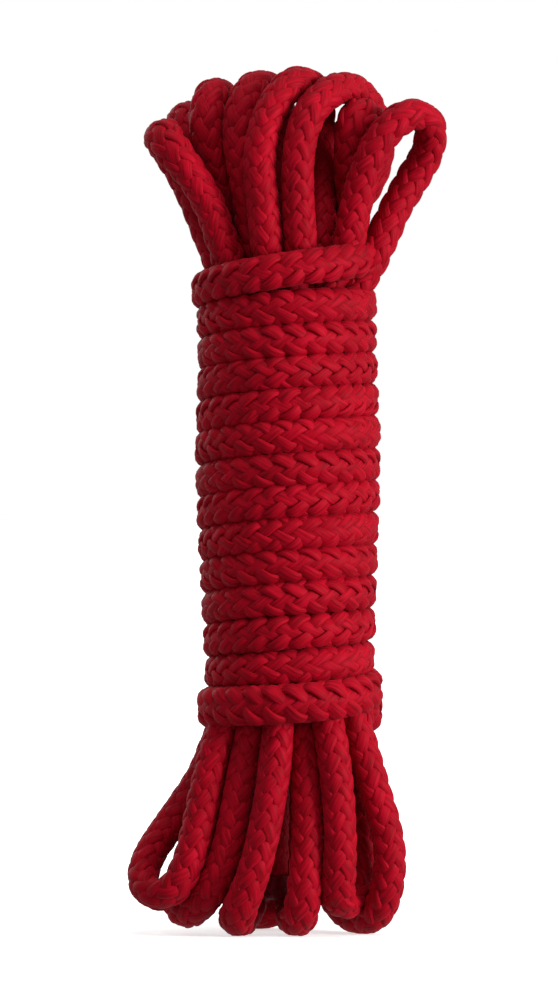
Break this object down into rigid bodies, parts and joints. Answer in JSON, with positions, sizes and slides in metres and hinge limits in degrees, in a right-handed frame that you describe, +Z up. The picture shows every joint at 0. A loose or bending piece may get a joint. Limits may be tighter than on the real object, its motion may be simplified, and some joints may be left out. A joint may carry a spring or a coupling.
{
  "type": "coiled braided rope",
  "caption": "Hank of red braided rope, bound at its middle by close wrapping turns of the same rope, standing on its lower bights.",
  "frame": {"origin": "on the floor, under the middle of the hank's box; the lower bights stand on it", "axes": "+Z up along the hank, +X to the right seen from the front, -Y towards the front"},
  "size_m": [0.0798, 0.0526, 0.217],
  "materials": {
    "rope": "matt braided fibre",
    "seal": "melted fibre, satin"
  },
  "bodies": {
    "root": {"leg_bundle": "rope", "lower_bight_1": "rope", "lower_bight_2": "rope", "lower_bight_3": "rope", "lower_bight_4": "rope", "lower_bight_5": "rope", "lower_bight_6": "rope", "lower_bight_7": "rope", "starting_end": "rope", "starting_end_seal": "seal", "upper_bight_1": "rope", "upper_bight_2": "rope", "upper_bight_3": "rope", "upper_bight_4": "rope", "upper_bight_5": "rope", "upper_bight_6": "rope", "upper_bight_7": "rope", "upper_bight_8": "rope", "working_end": "rope", "working_end_seal": "seal", "wrapping_turns": "rope"}
  },
  "joints": []
}
